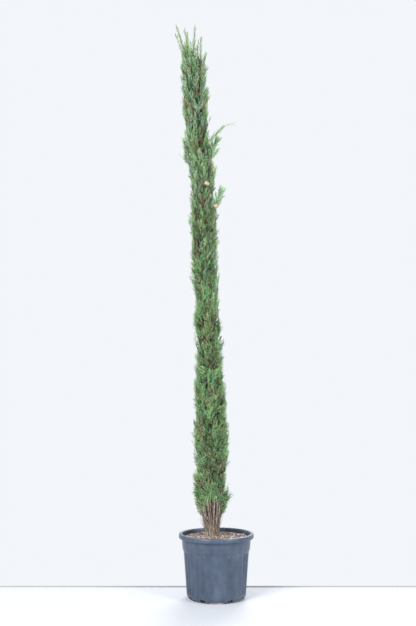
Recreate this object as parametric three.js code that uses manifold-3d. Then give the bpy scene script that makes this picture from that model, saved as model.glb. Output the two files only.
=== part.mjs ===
// Italian cypress in a nursery pot. A slender, slightly leaning column of foliage grows on one trunk, with a
// ring of thinner stems rising round its foot, out of the soil of a tapered plastic pot.
// Millimetres, +Z up. The origin is the centre of the pot's underside, on the ground. The front is -Y.
import * as THREE from "three";
import { mergeVertices } from "three/addons/utils/BufferGeometryUtils.js";
import Module from "manifold-3d";

const wasm = await Module();
wasm.setup();

// ---------------------------------------------------------------- driving dimensions
const GAP = 0.4; // between pieces that touch
const CUT_GAP = 1; // round a piece that another is cut by
const SEED = 11;
const FRONT = rad(270);

const POT_HEIGHT = 400;
const WALL = 3;
const FOOT_HEIGHT = 7; // the floor of the pot stands this high on its feet
const BASE_RADIUS = 170; // of the flat floor, inside its rounded edge
const HEEL_RADIUS = 186; // where the rounded edge meets the wall
const HEEL_HEIGHT = 30;
const BAND_STEP = 4; // the height over which the wall steps out to the band
const SHOULDER_RADIUS = 205.5; // the wall's top, under the band
const BAND_HEIGHT = 300; // where the wider band starts
const BAND_RADIUS = 212;
const RIM_HEIGHT = 371; // where the rolled rim starts
const NECK_RADIUS = 216; // of the band, under the rim
const RIM_RADIUS = 235;
const RIM_ROUND = 6; // of the rim's outer edges
const POT_SIDES = 40;
const SINK = 1; // how far a foot or a rib is sunk into the wall, so that the two join

const FEET = 4;
const FOOT_HALF_ANGLE = rad(22);
const FOOT_INNER_RADIUS = 96;
const FOOT_ARC_STEPS = 6;
const CENTRE_FOOT_RADIUS = 62;
const DRAIN_ANGLE = rad(28); // from the middle of a foot to each drain hole beside it
const DRAIN_WIDTH = 32;
const DRAIN_HEIGHT = 13;
const DRAIN_DEPTH = 60; // of the cut, through the pot's rounded edge

const RIB_ANGLES = [rad(21), rad(30), rad(39)]; // from the middle of a foot, on both its sides
const RIB_WIDTH = 7;
const RIB_PROUD = 2;
const RIB_END_GAP = 3; // from the rounded edge below and the band above

const SOIL_HEIGHT = 382; // the level ground round the trunk
const SOIL_EDGE_DROP = 8;
const SOIL_LEVEL_RADIUS = 70;
const SOIL_SLACK = 1; // more room at the wall's bends, where the pot's flat faces cut the corner

// Trunk: [height, x, y, radius], from its flared foot to the leader's tip.
const TRUNK = [
  [SOIL_HEIGHT + GAP, -24, 0, 31],
  [420, -25, 0, 25],
  [600, -31, 1, 22.5],
  [1000, -33, 3, 20],
  [1600, -52, 4, 16],
  [2300, -80, 2, 11.5],
  [2800, -112, -2, 8],
  [3200, -152, -3, 5.5],
  [3480, -206, -4, 3.6],
  [3668, -262, -6, 1.2],
];
const TRUNK_SIDES = 8;
const TRUNK_STEPS = 32;

// The crown's outline: [height, x, y, radius], a round column whose middle leaves the trunk near the top.
const CROWN = [
  [440, -26, 0, 70],
  [560, -34, 0, 97],
  [800, -34, 2, 111],
  [1050, -33, 3, 105],
  [1300, -38, 4, 95],
  [1600, -50, 4, 80],
  [2000, -70, 3, 78],
  [2300, -77, 2, 84],
  [2600, -85, 0, 79],
  [2780, -106, -2, 80],
  [2950, -126, -3, 80],
  [3150, -136, -3, 76],
  [3350, -142, -3, 78],
  [3480, -152, -4, 66],
  [3560, -166, -4, 46],
];

const SECTORS = [
  { name: "front", middle: FRONT, firstRing: 1, firstTier: 5, lastRing: 41 },
  { name: "right", middle: rad(30), firstRing: 0, firstTier: 3, lastRing: 40 },
  { name: "left", middle: rad(150), firstRing: 0, firstTier: 4, lastRing: 41 },
];
const SECTOR_HALF = rad(60);
const CROWN_START = 462; // the lowest ring, at the trunk
const RING_STEP = 72;
const TIER_RINGS = 5;
const SECTOR_GAP = 1.2;
const TIER_GAP = 5;
const TRUNK_CLEARANCE = 2.5;
const TRUNK_ROOM = 1.08; // of the trunk's radius, left free by the masses' inner faces
const UNEVEN = 0.07; // how far a mass's outline strays, as a share of its reach
const SWELL = [0.86, 1.05]; // a mass's reach at its ends and at its middle, as a share of the crown's outline
const RISE = 0.7; // how steeply a mass climbs from the trunk to its outside
const PEAK = 46; // how far a mass's middle stands above its two edges
const ARC_STEPS = 5;

const STEMS = 12;
const STEM_FOOT_RING = 41; // from the trunk's axis to the stems' at the soil
const STEM_RADIUS = [7.5, 5.5];
const STEM_SPREAD = [0.12, 0.22]; // outward per millimetre of rise, at the soil and at the crown
const STEM_SIDES = 6;
const STEM_STEPS = 5;
const STEM_RISE = 20; // between the points that a stem's line is drawn through
const STEM_LEAN_START = 30; // above the soil, where the stems start to follow the trunk's lean
const STEM_LEAN_OUT = 160; // above the soil, where the stems have their widest spread
const STEM_SHORT = 14; // how far under its mass a stem stops
const STEM_JITTER = 0.3; // of the angle between two stems

// Foliage that stands clear of the column: side plumes, and the tips of the upper shoots.
const PLUMES = [
  { name: "right_upper", from: [-64, -14, 2740], to: [18, -22, 2918], radius: 30 },
  { name: "right_lower", from: [-18, -26, 2462], to: [46, -34, 2592], radius: 22 },
  { name: "left_upper", from: [-186, -10, 2755], to: [-207, -14, 2900], radius: 14 },
];
const TIPS = [
  { name: "leader", from: [-192, -4, 3430], to: [-258, -6, 3652], radius: 13 },
  { name: "middle", from: [-146, -6, 3385], to: [-138, -8, 3645], radius: 15 },
  { name: "left", from: [-184, 16, 3400], to: [-188, 18, 3612], radius: 13 },
  { name: "right", from: [-108, 4, 3370], to: [-96, 6, 3580], radius: 15 },
  { name: "far_right", from: [-82, -8, 3320], to: [-64, -10, 3475], radius: 14 },
];
const TUFT_SIDES = 8;
const TUFT_STEPS = 6;
const TUFT_THINNEST = 0.08; // of its radius

// The bare shoot that leaves the column beside the upper right plume, and arches over at its tip.
const SHOOT = {
  points: [
    [-84, -40, 2836],
    [-46, -58, 2879],
    [-2, -70, 2921],
    [46, -78, 2965],
    [97, -84, 2986],
    [131, -86, 2965],
  ],
  radius: [3.4, 1.2],
  sides: 6,
  steps: 10,
};

// ---------------------------------------------------------------- small tools
function rad(degrees) {
  return (degrees * Math.PI) / 180;
}

// Repeatable random numbers from 0 to 1.
function randomFrom(seed) {
  let state = seed;
  return () => {
    state = (Math.imul(state, 1664525) + 1013904223) >>> 0;
    return state / 4294967296;
  };
}

// A row of a table at a height: a smooth curve through each column, with the height first.
function rowAt(table, height) {
  const last = table.length - 1;
  let i = 0;
  while (i < last - 1 && height > table[i + 1][0]) i++;
  const [low, high] = [table[i], table[i + 1]];
  const before = table[Math.max(i - 1, 0)];
  const after = table[Math.min(i + 2, last)];
  const span = high[0] - low[0];
  const t = THREE.MathUtils.clamp((height - low[0]) / span, 0, 1);
  const [t2, t3] = [t ** 2, t ** 3];
  const blend = [2 * t3 - 3 * t2 + 1, t3 - 2 * t2 + t, 3 * t2 - 2 * t3, t3 - t2];
  return low.map((value, c) => {
    const slopeLow = ((high[c] - before[c]) / (high[0] - before[0])) * span;
    const slopeHigh = ((after[c] - value) / (after[0] - low[0])) * span;
    return blend[0] * value + blend[1] * slopeLow + blend[2] * high[c] + blend[3] * slopeHigh;
  });
}

function toSolid(geometry) {
  const plain = new THREE.BufferGeometry();
  plain.setAttribute("position", geometry.getAttribute("position"));
  plain.setIndex(geometry.getIndex());
  const merged = mergeVertices(plain, 1e-3);
  const mesh = new wasm.Mesh({
    numProp: 3,
    vertProperties: new Float32Array(merged.attributes.position.array),
    triVerts: new Uint32Array(merged.index.array),
  });
  return new wasm.Manifold(mesh);
}

function toGeometry(solid) {
  const mesh = solid.getMesh();
  const geometry = new THREE.BufferGeometry();
  geometry.setAttribute("position", new THREE.BufferAttribute(mesh.vertProperties, 3));
  geometry.setIndex(new THREE.BufferAttribute(mesh.triVerts, 1));
  geometry.computeVertexNormals();
  return geometry;
}

// A profile of [radius, height] points turned about Z.
function turned(profile) {
  const points = profile.map(([radius, height]) => new THREE.Vector2(radius, height));
  return new THREE.LatheGeometry(points, POT_SIDES).rotateX(Math.PI / 2);
}

// A closed skin over rings of points, each ring anticlockwise seen from the far end.
// cap lists one end's triangles.
function skin(rings, cap) {
  const count = rings[0].length;
  const positions = rings.flat().flatMap((p) => [p.x, p.y, p.z]);
  const index = [];
  for (let k = 0; k < rings.length - 1; k++) {
    for (let j = 0; j < count; j++) {
      const a = k * count + j;
      const b = k * count + ((j + 1) % count);
      index.push(a, b, b + count, a, b + count, a + count);
    }
  }
  const top = (rings.length - 1) * count;
  for (const [a, b, c] of cap) index.push(a, c, b, top + a, top + b, top + c);
  const geometry = new THREE.BufferGeometry();
  geometry.setAttribute("position", new THREE.Float32BufferAttribute(positions, 3));
  geometry.setIndex(index);
  geometry.computeVertexNormals();
  return geometry;
}

const fanCap = (count) => Array.from({ length: count - 2 }, (_, i) => [0, i + 1, i + 2]);

// One tapering limb along a curve. Its first ring is level where it is cut flat at the soil.
function limb(curve, radiusAt, sides, steps, levelFoot = false) {
  const rings = [];
  for (let k = 0; k <= steps; k++) {
    const t = k / steps;
    const axis = levelFoot && k === 0 ? new THREE.Vector3(0, 0, 1) : curve.getTangent(t);
    const across = new THREE.Vector3(0, 1, 0).cross(axis).normalize();
    const up = axis.clone().cross(across);
    const centre = curve.getPoint(t);
    rings.push(
      Array.from({ length: sides }, (_, j) => {
        const angle = (2 * Math.PI * j) / sides;
        return centre
          .clone()
          .addScaledVector(across, radiusAt(t) * Math.cos(angle))
          .addScaledVector(up, radiusAt(t) * Math.sin(angle));
      }),
    );
  }
  return skin(rings, fanCap(sides));
}

const curveThrough = (points) => new THREE.CatmullRomCurve3(points.map((p) => new THREE.Vector3(...p)));

// ---------------------------------------------------------------- pot and soil
function potSolid() {
  const wallSlope = (SHOULDER_RADIUS - HEEL_RADIUS) / (BAND_HEIGHT - HEEL_HEIGHT);
  const shell = turned([
    [0, FOOT_HEIGHT],
    [BASE_RADIUS, FOOT_HEIGHT],
    [BASE_RADIUS + 9, FOOT_HEIGHT + 5],
    [HEEL_RADIUS - 2, FOOT_HEIGHT + 14],
    [HEEL_RADIUS, HEEL_HEIGHT],
    [SHOULDER_RADIUS, BAND_HEIGHT - BAND_STEP],
    [BAND_RADIUS, BAND_HEIGHT],
    [NECK_RADIUS, RIM_HEIGHT],
    [RIM_RADIUS - RIM_ROUND, RIM_HEIGHT],
    [RIM_RADIUS, RIM_HEIGHT + RIM_ROUND],
    [RIM_RADIUS, POT_HEIGHT - RIM_ROUND],
    [RIM_RADIUS - RIM_ROUND, POT_HEIGHT],
    [NECK_RADIUS + 1, POT_HEIGHT],
    [NECK_RADIUS - WALL, POT_HEIGHT - RIM_ROUND],
    [BAND_RADIUS - WALL, BAND_HEIGHT + 2],
    [SHOULDER_RADIUS - WALL, BAND_HEIGHT - BAND_STEP],
    [HEEL_RADIUS - WALL, HEEL_HEIGHT + 2],
    [BASE_RADIUS - 2, FOOT_HEIGHT + WALL],
    [0, FOOT_HEIGHT + WALL],
  ]);
  let solid = toSolid(shell);
  for (let i = 0; i < FEET; i++) solid = solid.add(footSolid((i * 2 * Math.PI) / FEET));
  const centreFoot = turned([
    [0, 0],
    [CENTRE_FOOT_RADIUS, 0],
    [CENTRE_FOOT_RADIUS, FOOT_HEIGHT + SINK],
    [0, FOOT_HEIGHT + SINK],
  ]);
  solid = solid.add(toSolid(centreFoot));

  const ribLength = BAND_HEIGHT - HEEL_HEIGHT - 2 * RIB_END_GAP;
  const ribMiddle = (BAND_HEIGHT + HEEL_HEIGHT) / 2;
  const ribRadius = HEEL_RADIUS + wallSlope * (ribMiddle - HEEL_HEIGHT);
  for (let i = 0; i < FEET; i++) {
    for (const angle of RIB_ANGLES.flatMap((a) => [a, -a])) {
      const rib = new THREE.BoxGeometry(RIB_PROUD + SINK, RIB_WIDTH, ribLength);
      rib.rotateY(Math.atan(wallSlope));
      rib.translate(ribRadius + (RIB_PROUD - SINK) / 2, 0, ribMiddle);
      rib.rotateZ((i * 2 * Math.PI) / FEET + angle);
      solid = solid.add(toSolid(rib));
    }
  }

  for (let i = 0; i < FEET; i++) {
    for (const side of [-1, 1]) {
      const drain = new THREE.BoxGeometry(DRAIN_DEPTH, DRAIN_WIDTH, DRAIN_HEIGHT);
      drain.translate(HEEL_RADIUS, 0, FOOT_HEIGHT + WALL + DRAIN_HEIGHT / 2);
      drain.rotateZ((i * 2 * Math.PI) / FEET + side * DRAIN_ANGLE);
      solid = solid.subtract(toSolid(drain));
    }
  }
  return solid;
}

// One of the pot's feet: a sector of a ring under the floor, whose middle is at this angle.
function footSolid(angle) {
  const sector = new THREE.Shape();
  sector.absarc(0, 0, BASE_RADIUS, angle - FOOT_HALF_ANGLE, angle + FOOT_HALF_ANGLE, false);
  sector.absarc(0, 0, FOOT_INNER_RADIUS, angle + FOOT_HALF_ANGLE, angle - FOOT_HALF_ANGLE, true);
  const options = { depth: FOOT_HEIGHT + SINK, bevelEnabled: false, curveSegments: FOOT_ARC_STEPS };
  return toSolid(new THREE.ExtrudeGeometry(sector, options));
}

function soilGeometry() {
  const inside = WALL + GAP;
  return turned([
    [0, FOOT_HEIGHT + inside],
    [BASE_RADIUS - inside, FOOT_HEIGHT + inside],
    [HEEL_RADIUS - inside - SOIL_SLACK, HEEL_HEIGHT + inside],
    [SHOULDER_RADIUS - inside - SOIL_SLACK, BAND_HEIGHT - BAND_STEP],
    [BAND_RADIUS - inside - SOIL_SLACK, BAND_HEIGHT + inside],
    [NECK_RADIUS - inside - SOIL_SLACK, SOIL_HEIGHT - SOIL_EDGE_DROP],
    [SOIL_LEVEL_RADIUS, SOIL_HEIGHT],
    [0, SOIL_HEIGHT],
  ]);
}

// ---------------------------------------------------------------- trunk and stems
function trunkGeometry(gap = 0) {
  const curve = curveThrough(TRUNK.map(([z, x, y]) => [x, y, z]));
  const radiusAt = (t) => rowAt(TRUNK, curve.getPoint(t).z)[3] + gap;
  return limb(curve, radiusAt, TRUNK_SIDES, TRUNK_STEPS, true);
}

// How high a mass's section lies above its ring's level, by the distance from the trunk and the
// share of the sector.
function riseAt(fromTrunk, share) {
  return RISE * fromTrunk + PEAK * (1 - (2 * share - 1) ** 2);
}

// How far an angle is turned from a sector's middle, between minus and plus half a turn.
function turnFrom(sector, angle) {
  return Math.atan2(Math.sin(angle - sector.middle), Math.cos(angle - sector.middle));
}

// A stem stands on the soil beside the trunk, leans out as it climbs, and stops where it enters a mass.
function stemGeometry(i) {
  const draw = randomFrom(SEED + 31 * i);
  const angle = FRONT + ((i + 0.5 + STEM_JITTER * (draw() - 0.5)) * 2 * Math.PI) / STEMS;
  const sector = SECTORS.find((each) => Math.abs(turnFrom(each, angle)) <= SECTOR_HALF);
  const share = 0.5 + turnFrom(sector, angle) / (2 * SECTOR_HALF);
  const foot = TRUNK[0];
  const points = [];
  let out = STEM_FOOT_RING;
  let height = SOIL_HEIGHT + GAP;
  const firstLevel = CROWN_START + sector.firstRing * RING_STEP;
  const underside = () => firstLevel + riseAt(out - rowAt(TRUNK, height)[3], share) - STEM_SHORT;
  while (height < underside() || points.length < 3) {
    const [, x, y] = rowAt(TRUNK, height);
    const lean = height < SOIL_HEIGHT + STEM_LEAN_START ? [foot[1], foot[2]] : [x, y];
    points.push([lean[0] + out * Math.cos(angle), lean[1] + out * Math.sin(angle), height]);
    const climbed = THREE.MathUtils.clamp((height - SOIL_HEIGHT) / STEM_LEAN_OUT, 0, 1);
    out += STEM_RISE * THREE.MathUtils.lerp(...STEM_SPREAD, climbed);
    height += STEM_RISE;
  }
  const radiusAt = (t) => THREE.MathUtils.lerp(...STEM_RADIUS, t) * (0.9 + 0.1 * draw());
  return limb(curveThrough(points), radiusAt, STEM_SIDES, STEM_STEPS, true);
}

// ---------------------------------------------------------------- foliage
// How far the crown's outline is from the trunk at a height and angle.
function outlineAt(height, angle) {
  const trunk = rowAt(TRUNK, height);
  const crown = rowAt(CROWN, height);
  const [dx, dy] = [crown[1] - trunk[1], crown[2] - trunk[2]];
  const along = dx * Math.cos(angle) + dy * Math.sin(angle);
  const aside = -dx * Math.sin(angle) + dy * Math.cos(angle);
  return along + Math.sqrt(Math.max(crown[3] ** 2 - aside ** 2, 100));
}

// One mass of foliage: a sector of the column between two rings, rising outwards like a plume.
function massGeometry(sector, fromRing, toRing, seed) {
  const draw = randomFrom(seed);
  const rings = [];
  for (let k = fromRing; k <= toRing; k++) {
    const t = (k - fromRing) / (toRing - fromRing);
    const inset = k === fromRing ? TIER_GAP / 2 : k === toRing ? -TIER_GAP / 2 : 0;
    const level = CROWN_START + k * RING_STEP + inset;
    const swell = THREE.MathUtils.lerp(...SWELL, Math.sin(Math.PI * t ** 0.8));
    const inner = [];
    const outer = [];
    for (let j = 0; j <= ARC_STEPS; j++) {
      const share = j / ARC_STEPS;
      const uneven = 1 + UNEVEN * (2 * draw() - 1);
      const angle = sector.middle + SECTOR_HALF * (2 * share - 1);
      const trunkRadius = rowAt(TRUNK, level)[3];
      const near = trunkRadius * TRUNK_ROOM + TRUNK_CLEARANCE;
      const guess = level + riseAt(outlineAt(level, angle) - trunkRadius, share);
      const far = outlineAt(guess, angle) * swell * uneven;
      for (const [list, out] of [[inner, near], [outer, far]]) {
        const height = level + riseAt(out - trunkRadius, share);
        const [, x, y] = rowAt(TRUNK, height);
        const side = j === 0 ? 1 : j === ARC_STEPS ? -1 : 0;
        const set = (side * SECTOR_GAP) / 2;
        const dx = out * Math.cos(angle) - set * Math.sin(angle);
        const dy = out * Math.sin(angle) + set * Math.cos(angle);
        list.push(new THREE.Vector3(x + dx, y + dy, height));
      }
    }
    rings.push([...outer, ...inner.reverse()]);
  }
  const last = 2 * ARC_STEPS + 1;
  const cap = [];
  for (let j = 0; j < ARC_STEPS; j++) {
    cap.push([j, j + 1, last - j - 1], [j, last - j - 1, last - j]);
  }
  return skin(rings, cap);
}

// The rings at which a sector's masses meet.
function tiersOf(sector) {
  const marks = [sector.firstRing];
  let next = sector.firstRing + sector.firstTier;
  while (next <= sector.lastRing - TIER_RINGS / 2) {
    marks.push(next);
    next += TIER_RINGS;
  }
  marks.push(sector.lastRing);
  return marks.slice(1).map((end, i) => [marks[i], end]);
}

// The space that a piece takes up with a gap round it, to cut its neighbours by.
function spaceRound(geometry) {
  const shifts = [-CUT_GAP, CUT_GAP].flatMap((d) => [[d, 0, 0], [0, d, 0], [0, 0, d]]);
  return shifts.reduce(
    (space, shift) => space.add(toSolid(geometry.clone().translate(...shift))),
    toSolid(geometry),
  );
}

// A tuft of foliage along a line, thickest a third of the way up, cut clear of the masses that it
// grows out of.
function tuftSolid({ from, to, radius }, neighbours) {
  const bow = new THREE.Vector3(...from).lerp(new THREE.Vector3(...to), 0.5);
  const curve = curveThrough([from, [bow.x, bow.y, bow.z - radius / 4], to]);
  const radiusAt = (t) => radius * Math.max(Math.sin(Math.PI * (0.12 + 0.86 * t) ** 0.75), TUFT_THINNEST);
  const whole = toSolid(limb(curve, radiusAt, TUFT_SIDES, TUFT_STEPS));
  const cut = neighbours.reduce((left, neighbour) => left.subtract(neighbour), whole);
  return cut.decompose().reduce((a, b) => (a.volume() > b.volume() ? a : b));
}

// ---------------------------------------------------------------- assembly
const material = {
  pot: new THREE.MeshStandardMaterial({ color: 0x5b6270, roughness: 0.6, metalness: 0 }),
  soil: new THREE.MeshStandardMaterial({ color: 0x6a5343, roughness: 0.95, metalness: 0 }),
  bark: new THREE.MeshStandardMaterial({ color: 0x86776a, roughness: 0.9, metalness: 0 }),
  foliage: new THREE.MeshStandardMaterial({ color: 0x5c7f55, roughness: 0.85, metalness: 0 }),
};

const tree = new THREE.Group();
function add(name, geometry, use) {
  const mesh = new THREE.Mesh(geometry, use);
  mesh.name = name;
  tree.add(mesh);
}

add("pot", toGeometry(potSolid()), material.pot);
add("soil", soilGeometry(), material.soil);
add("trunk", trunkGeometry(), material.bark);
for (let i = 0; i < STEMS; i++) add(`stem_${i + 1}`, stemGeometry(i), material.bark);

const taken = [toSolid(trunkGeometry(CUT_GAP))];
for (const [s, sector] of SECTORS.entries()) {
  for (const [i, [from, to]] of tiersOf(sector).entries()) {
    const mass = massGeometry(sector, from, to, SEED + 1000 * s + 17 * i);
    add(`foliage_${sector.name}_${i + 1}`, mass, material.foliage);
    taken.push(spaceRound(mass));
  }
}
for (const plume of PLUMES) {
  add(`foliage_plume_${plume.name}`, toGeometry(tuftSolid(plume, taken)), material.foliage);
}
for (const tip of TIPS) add(`foliage_tip_${tip.name}`, toGeometry(tuftSolid(tip, taken)), material.foliage);

const shootRadius = (t) => THREE.MathUtils.lerp(...SHOOT.radius, t);
const shoot = toSolid(limb(curveThrough(SHOOT.points), shootRadius, SHOOT.sides, SHOOT.steps));
add("shoot_right", toGeometry(taken.reduce((left, space) => left.subtract(space), shoot)), material.bark);

export default tree;
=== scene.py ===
"""The looks of a potted italian cypress: trunk and stems in bark, a crown of feathery sprays, a pot of soil.

Everything is in metres in the CAD frame: +Z up, -Y the front, the origin under the middle of the pot.
The crown grows by a seeded rule. Boughs leave the trunk by the golden angle and climb beside it, twigs leave
the boughs towards the outline of the CAD masses, and each twig ends in a spray of cord-like branchlets.
"""

import math

import bpy
import numpy as np
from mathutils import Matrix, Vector
from mathutils.bvhtree import BVHTree


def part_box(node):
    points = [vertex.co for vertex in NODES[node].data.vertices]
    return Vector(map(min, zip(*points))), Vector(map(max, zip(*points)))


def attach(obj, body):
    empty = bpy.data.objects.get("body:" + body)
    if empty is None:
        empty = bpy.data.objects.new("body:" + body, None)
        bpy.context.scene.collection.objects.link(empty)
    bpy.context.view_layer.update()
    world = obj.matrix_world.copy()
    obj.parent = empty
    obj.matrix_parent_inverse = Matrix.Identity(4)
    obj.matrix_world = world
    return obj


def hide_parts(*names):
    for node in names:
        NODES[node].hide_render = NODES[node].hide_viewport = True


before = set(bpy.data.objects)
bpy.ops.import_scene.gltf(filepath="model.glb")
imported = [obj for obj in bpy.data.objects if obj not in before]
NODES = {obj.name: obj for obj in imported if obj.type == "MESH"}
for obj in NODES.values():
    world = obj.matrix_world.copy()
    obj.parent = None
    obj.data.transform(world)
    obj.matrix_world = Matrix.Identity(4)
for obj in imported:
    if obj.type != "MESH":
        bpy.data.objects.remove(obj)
scene = bpy.context.scene
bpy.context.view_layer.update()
rng = np.random.default_rng(20)

# ---- sizes and counts
GOLDEN_ANGLE = math.pi * (3 - math.sqrt(5))
UP = np.array([0, 0, 1])

BOUGHS = 92
BOUGH_LENGTH = (0.34, 0.5)
BOUGH_RADIUS = (0.0048, 0.0016)
BOUGH_STEP = 0.022  # between the twigs along a bough
TWIG_RADIUS = (0.0014, 0.001)
STALK_RADIUS = (0.0012, 0.0009)
SPRAY_RISE = (0.036, 0.086)
SIDE_SPRAY_SHARE = 0.7
INNER_SHARE = 0.56  # of the twigs that also bear a dark inner spray, coloured mostly in painted shade
STREAKS = 170
LOW_SPRAYS = 170
FRONT_PATCHES = 30
THIN_STEMS = 110
DEAD_TWIGS = 420
CORD_RADIUS = 0.00135
KNEE = 0.45  # the share of a branchlet's length at which it bends towards the spray's axis
BRANCHLETS = 125  # along a metre of spray
SIDE_CORDS = 3  # along each branchlet
HOLLOW_LEVEL = -0.24  # of the crown's unevenness: below it is a hollow
HOLLOW_BARE_SHARE = 0.58  # of the twigs in hollows that bear no outer spray
LEAF_PIECES = 8
FLOOR_END = 0.3  # behind the middle of the pot
CROWN_TOP = 3.47  # of the dense part of the crown; only leaders stand higher
FOLIAGE_START = 0.515  # the height of the lowest sprays

# The bundle of stems: height over the soil, and the radius of its outside.
BUNDLE = [(0, 0.04), (0.05, 0.043), (0.1, 0.051), (0.125, 0.059), (0.17, 0.069), (0.3, 0.079), (0.5, 0.08)]
# Leaders over the crown's top, besides those of the CAD: the tip's place, and the length below it.
LEADERS = [
    (-0.205, 0.01, 3.642, 0.26), (-0.262, 0.006, 3.598, 0.24), (-0.112, -0.022, 3.545, 0.22),
    (-0.165, 0.022, 3.552, 0.22), (-0.15, -0.03, 3.545, 0.2), (-0.122, 0.03, 3.53, 0.2),
    (-0.178, -0.028, 3.53, 0.22), (-0.208, -0.02, 3.5, 0.22),
    (-0.066, -0.016, 3.462, 0.2), (-0.14, 0.04, 3.52, 0.2), (-0.19, 0.034, 3.515, 0.22),
]
# Sprigs: the tip's place, how far lower the sprig leaves the crown, and the leafy share of its length.
SPRIGS = [
    ((-0.244, -0.02, 2.806), 0.085, 0.6), ((0.004, -0.02, 2.722), 0.11, 1),
    ((-0.013, -0.01, 2.765), 0.09, 0.9), ((-0.03, -0.015, 3.2), 0.09, 0.7),
    ((-0.233, 0.005, 3.253), 0.07, 0.9), ((-0.222, -0.01, 3.19), 0.08, 0.6),
    ((0.097, -0.01, 0.628), 0.05, 0.9), ((-0.139, -0.02, 0.612), 0.045, 0.8),
    ((0.03, -0.02, 2.842), 0.08, 0.5), ((-0.05, 0.02, 3.395), 0.08, 0.9),
    ((-0.18, 0.03, 2.42), 0.07, 0.9), ((0.022, 0.03, 2.25), 0.07, 0.9),
]

POT_SEGMENTS = 360
SOIL_CHIPS = 4200


# ---- vectors, noise and random draws
def unit(v):
    v = np.asarray(v, float)
    return v / np.maximum(np.linalg.norm(v, axis=-1, keepdims=True), 1e-12)


def between(low_high):
    low, high = low_high
    return low + (high - low) * rng.random()


def around(angle):
    """The level unit vector at an angle from +X."""
    return np.array([math.cos(angle), math.sin(angle), 0.0])


def turns(count):
    """Angles in even steps round a whole turn."""
    return np.arange(count) * 2 * math.pi / count


def polar(radius, turn, height):
    """Points by their distance from the Z axis, angle and height."""
    return np.stack(np.broadcast_arrays(radius * np.cos(turn), radius * np.sin(turn), height), axis=-1)


def rings(turn, across, up):
    """The directions at the angles turn, for each pair of the axes across and up."""
    return np.cos(turn)[:, None] * across[:, None] + np.sin(turn)[:, None] * up[:, None]


def smooth(x):
    x = np.clip(x, 0, 1)
    return x * x * (3 - 2 * x)


NOISE_SIZE = 32
NOISE_TABLE = np.random.default_rng(5).random((NOISE_SIZE,) * 3) * 2 - 1


def noise(points):
    """Smooth noise from -1 to 1, one value for each point, repeating every NOISE_SIZE units."""
    low = np.floor(points).astype(int)
    part = smooth(points - low)
    total = 0
    for corner in np.ndindex(2, 2, 2):
        weight = np.prod(np.where(corner, part, 1 - part), axis=-1)
        total = total + weight * NOISE_TABLE[tuple(((low + corner) % NOISE_SIZE).T)].T
    return total


def smooth_path(points, count):
    """A Catmull-Rom curve through points."""
    points = np.asarray(points, float)
    padded = np.concatenate([[2 * points[0] - points[1]], points, [2 * points[-1] - points[-2]]])
    share = np.linspace(0, len(points) - 1, count)
    piece = np.minimum(share.astype(int), len(points) - 2)
    t = (share - piece)[:, None]
    a, b, c, d = (padded[piece + i] for i in range(4))
    return 0.5 * (2 * b + (c - a) * t + (2 * a - 5 * b + 4 * c - d) * t**2 + (3 * b - a - 3 * c + d) * t**3)


def distances(path):
    """How far along a path each of its points is."""
    return np.concatenate([[0], np.cumsum(np.linalg.norm(np.diff(path, axis=0), axis=1))])


def point_at(path, marks, at):
    """The point of a path at a distance along it, where marks are its distances."""
    return np.array([np.interp(at, marks, path[:, k]) for k in range(3)])


# ---- pieces
def add_object(name, data):
    thing = bpy.data.objects.new(name, data)
    scene.collection.objects.link(thing)
    return thing


def add_piece(name, points, faces, materials, replaced=(), face_material=None, smooth_shaded=True):
    """A mesh piece that rides on the plant. faces is a list of arrays: of triangles, of quads, or both."""
    corners = np.concatenate([np.full(len(some), some.shape[1]) for some in faces])
    mesh = bpy.data.meshes.new(name)
    mesh.vertices.add(len(points))
    mesh.vertices.foreach_set("co", np.asarray(points, np.float32).ravel())
    mesh.loops.add(int(corners.sum()))
    mesh.loops.foreach_set("vertex_index", np.concatenate([some.ravel() for some in faces]).astype(np.int32))
    mesh.polygons.add(len(corners))
    mesh.polygons.foreach_set("loop_start", (np.cumsum(corners) - corners).astype(np.int32))
    for material in materials:
        mesh.materials.append(material)
    if face_material is not None:
        mesh.polygons.foreach_set("material_index", face_material.astype(np.int32))
    mesh.polygons.foreach_set("use_smooth", np.full(len(corners), smooth_shaded))
    mesh.update(calc_edges=True)
    mesh.validate()
    piece = add_object(name, mesh)
    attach(piece, "root")
    if replaced:
        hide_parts(*replaced)
    return piece


def grid_faces(rows, columns):
    """Quads over a grid of points, row after row, whose rows close on themselves."""
    across, row = np.arange(columns), np.arange(rows - 1)[:, None] * columns
    first, beside = row + across, row + (across + 1) % columns
    return np.stack([first, beside, beside + columns, first + columns], axis=-1).reshape(-1, 4)


def triangles_of(quads):
    return np.concatenate([quads[:, [0, 1, 2]], quads[:, [0, 2, 3]]])


class Gather:
    """Collects parts of one joined piece: points, triangles and each triangle's material."""

    def __init__(self):
        self.points, self.faces, self.materials, self.count = [], [], [], 0

    def add(self, points, faces, material=0):
        self.points.append(points)
        self.faces.append(faces + self.count)
        self.materials.append(np.broadcast_to(material, len(faces)))
        self.count += len(points)

    def piece(self, name, materials, slot, replaced=(), smooth_shaded=True):
        points, material = np.concatenate(self.points), np.concatenate(self.materials)
        add_piece(name, points, self.faces, materials, replaced, material, smooth_shaded)


def tube(path, radii, sides):
    """Points and triangles of a closed tapering tube along a path."""
    along = unit(np.gradient(path, axis=0))
    across = unit(np.cross(along, [0.13, 0.97, 0.21]))
    ring = rings(turns(sides), across, np.cross(along, across))
    points = (path[:, None] + radii[:, None, None] * ring).reshape(-1, 3)
    fan = np.array([[0, i + 2, i + 1] for i in range(sides - 2)])
    last = (len(path) - 1) * sides
    return points, np.concatenate([triangles_of(grid_faces(len(path), sides)), fan, fan[:, ::-1] + last])


# ---- materials
NOISE_LOW, NOISE_HIGH = 0.3, 0.7  # the part of a noise's range over which a pattern changes


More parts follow.
